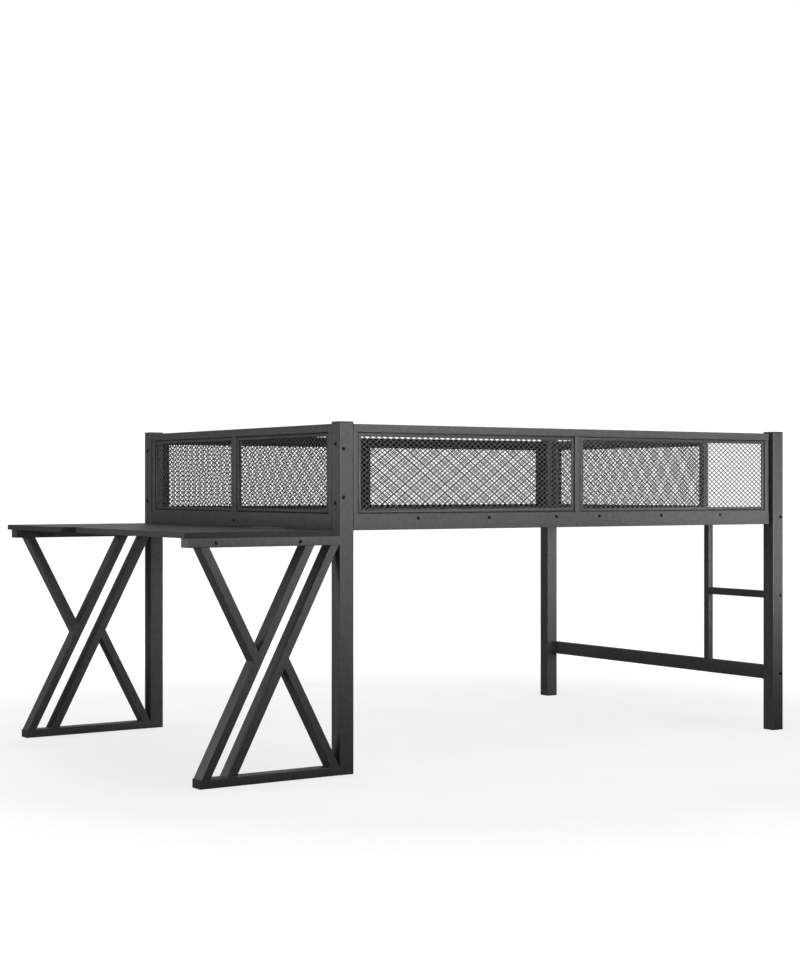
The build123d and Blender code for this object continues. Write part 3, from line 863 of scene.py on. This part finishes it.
@dataclass
class Studio:
    """Pale floor that curves up into a backdrop, soft lights and the camera.

    The front light hangs above desk height with a narrow fan, so the faces towards it
    darken down to the floor. The low one reaches in under the bed.
    """

    eye: tuple[float, float, float] = (-3.787, -5.645, 0.923)
    heading: float = 33.793
    lens: float = 66.45
    floor_tone: float = 0.20
    floor_glow: float = 0.74
    wall_glow: float = 1.05
    glow_start: float = 1.8
    glow_end: float = 3.4
    bowl_radius: float = 16.0
    bowl_bend: float = 5.0
    bowl_height: float = 14.0
    bowl_turns: int = 96
    bend_steps: int = 24
    flat_rings: tuple[float, ...] = (1.0, 2.0, 5.0)
    floor_drop: float = 0.5 * MM
    floor_roughness: float = 0.9
    room_glow: float = 0.12
    front_lamps: tuple[Softbox, ...] = (
        Softbox("overhead", (0.3, -0.6, 4.5), (0, 0, 0), (5.0, 4.0), 190.0),
        Softbox("front", (1.0, -3.2, 1.24), (1.0, 0, 1.24), (4.4, 1.5), 28.0, 43.0),
        Softbox("low_front", (2.0, -3.2, 0.7), (1.2, 0.3, 0.64), (1.5, 0.4), 2.1, 22.0),
        Softbox("left", (-2.9, 0.9, 0.85), (-0.7, 0.2, 0.7), (1.0, 1.0), 25.0),
    )
    back_lamp: Softbox = Softbox("back", (0.5, 4.0, 1.9), (0.3, 0.7, 0.7), (4.0, 2.0), 22.0)
    hidden: bpy.types.Collection | None = field(default=None, init=False)

    def build(self, shaded: list[bpy.types.Object]) -> None:
        """Set the camera, floor, lights and world.

        Args:
            shaded: pieces behind others that only the back light and the world reach.
        """
        self.hidden = bpy.data.collections.new("lit_from_behind_only")
        for piece in shaded:
            self.hidden.objects.link(piece)
        for entry in self.hidden.collection_objects:
            entry.light_linking.link_state = "EXCLUDE"
        self.camera()
        self.backdrop()
        self.lights()
        self.world()

    def camera(self) -> None:
        """Stand the camera level at the viewing point."""
        data = bpy.data.cameras.new("view")
        data.sensor_width = 36.0
        data.lens = self.lens
        data.clip_end = 200.0
        eye = bpy.data.objects.new("view", data)
        eye.location = self.eye
        eye.rotation_euler = (math.radians(90), 0, math.radians(-self.heading))
        bpy.context.scene.collection.objects.link(eye)
        bpy.context.scene.camera = eye

    def backdrop(self) -> None:
        """Make the floor and a wall all round it as one bowl.

        The profile runs flat from the middle, then round a quarter circle, then
        straight up. It is turned about the vertical axis, and one face closes the
        middle.
        """
        bend = np.linspace(0, math.pi / 2, self.bend_steps)
        flat = self.bowl_radius - self.bowl_bend
        curve = flat + self.bowl_bend * np.sin(bend)
        radius = np.concatenate([self.flat_rings, curve, [self.bowl_radius]])
        level = np.concatenate(
            [np.zeros(len(self.flat_rings)), self.bowl_bend * (1 - np.cos(bend)), [self.bowl_height]]
        )
        turn = np.linspace(0, 2 * math.pi, self.bowl_turns, endpoint=False)
        x = radius[:, None] * np.cos(turn)
        y = radius[:, None] * np.sin(turn)
        z = np.repeat(level[:, None] - self.floor_drop, self.bowl_turns, 1)
        points = np.stack([x, y, z], 2).reshape(-1, 3)
        ring, step = np.divmod(np.arange((len(radius) - 1) * self.bowl_turns), self.bowl_turns)
        start, after = ring * self.bowl_turns, (step + 1) % self.bowl_turns
        outer = start + self.bowl_turns
        quads = np.stack([start + step, outer + step, outer + after, start + after], 1)
        mesh = bpy.data.meshes.new("studio_floor")
        middle = list(range(self.bowl_turns))
        mesh.from_pydata(points.tolist(), [], [middle, *quads.tolist()])
        mesh.shade_smooth()
        graph = Graph("pale_paper")
        shader = graph.surface()
        shader.inputs["Roughness"].default_value = self.floor_roughness
        shader.inputs["Emission Color"].default_value = (1, 1, 1, 1)
        reach = graph.node("ShaderNodeVectorMath", operation="LENGTH")
        graph.link(graph.place.outputs["Object"], reach.inputs[0])
        glow = graph.node("ShaderNodeMapRange")
        glow.inputs["From Min"].default_value = self.glow_start
        glow.inputs["From Max"].default_value = self.glow_end
        glow.inputs["To Min"].default_value = self.floor_glow
        glow.inputs["To Max"].default_value = self.wall_glow
        graph.link(reach.outputs["Value"], glow.inputs["Value"])
        graph.link(glow.outputs["Result"], shader.inputs["Emission Strength"])
        tone = graph.spread(graph.noise(3.0, 3.0), self.floor_tone - 0.01, self.floor_tone + 0.01)
        graph.link(tone, shader.inputs["Base Color"])
        mesh.materials.append(graph.material)
        floor = bpy.data.objects.new("studio_floor", mesh)
        floor.visible_diffuse = False
        floor.visible_glossy = False
        bpy.context.scene.collection.objects.link(floor)

    def lights(self) -> None:
        """Hang the lamps; all but the back one leave out the shaded pieces."""
        for box in self.front_lamps:
            box.hang().light_linking.receiver_collection = self.hidden
        self.back_lamp.hang()

    def world(self) -> None:
        """Fill the room with even pale light."""
        world = bpy.data.worlds.new("room")
        world.use_nodes = True
        sky = world.node_tree.nodes["Background"]
        sky.inputs["Color"].default_value = (1, 1, 1, 1)
        sky.inputs["Strength"].default_value = self.room_glow
        bpy.context.scene.world = world
        bpy.context.scene.view_settings.view_transform = "Standard"


def shaded_pieces() -> list[bpy.types.Object]:
    """List the far guard's pieces and the joint spacers, which the front lamps leave out."""
    meshes = [piece for piece in bpy.data.objects if piece.type == "MESH"]
    return [
        piece
        for piece in meshes
        if piece.name.startswith("far_guard") or piece.name == "joint_spacers"
    ]


def main() -> None:
    """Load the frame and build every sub-assembly in order."""
    logging.basicConfig(level=logging.INFO, format="%(name)s %(message)s")
    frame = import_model()
    finishes = Finishes()
    long_weave = DiamondMesh()
    end_weave = DiamondMesh(pitch_along=21.5 * MM)
    panels = [
        GuardPanel("near_guard", Run.X, -1, long_weave),
        GuardPanel("far_guard", Run.X, 1, long_weave),
        GuardPanel("desk_end_guard", Run.Y, -1, end_weave),
        GuardPanel("entry_guard", Run.Y, 1, end_weave),
    ]
    for panel in panels:
        panel.build(finishes, frame)
    for node, run in (
        ("ladder_post", Run.Z),
        ("ladder_rung", Run.Y),
        ("low_end_rail", Run.Y),
        ("desk_top_tube_near", Run.X),
        ("desk_top_tube_far", Run.X),
        ("desk_base_tube_near", Run.X),
        ("desk_base_tube_far", Run.X),
    ):
        RoundedTube(node, run).build(finishes.frame, frame)
    for dressing in (
        Dressing(
            "frame",
            ("post_near", "post_far", "desk_", "low_rail_brackets"),
            apart=("guard", "_tube_", "bolts"),
        ),
        Dressing("deck", ("deck_",), apart=("bolts",)),
        Dressing(
            "plastic", ("joint_spacers", "post_caps", "desk_tube_plugs", "outlet_faces", "foot_")
        ),
        Dressing("outlet", ("outlet_module",)),
        Dressing("bolts", ("post_bolts", "deck_bolts", "desk_bolts", "board_screws")),
        Dressing("board", ("desktop",)),
    ):
        dressing.dress(finishes, frame)
    Studio().build(shaded_pieces())


if __name__ == "__main__":
    main()
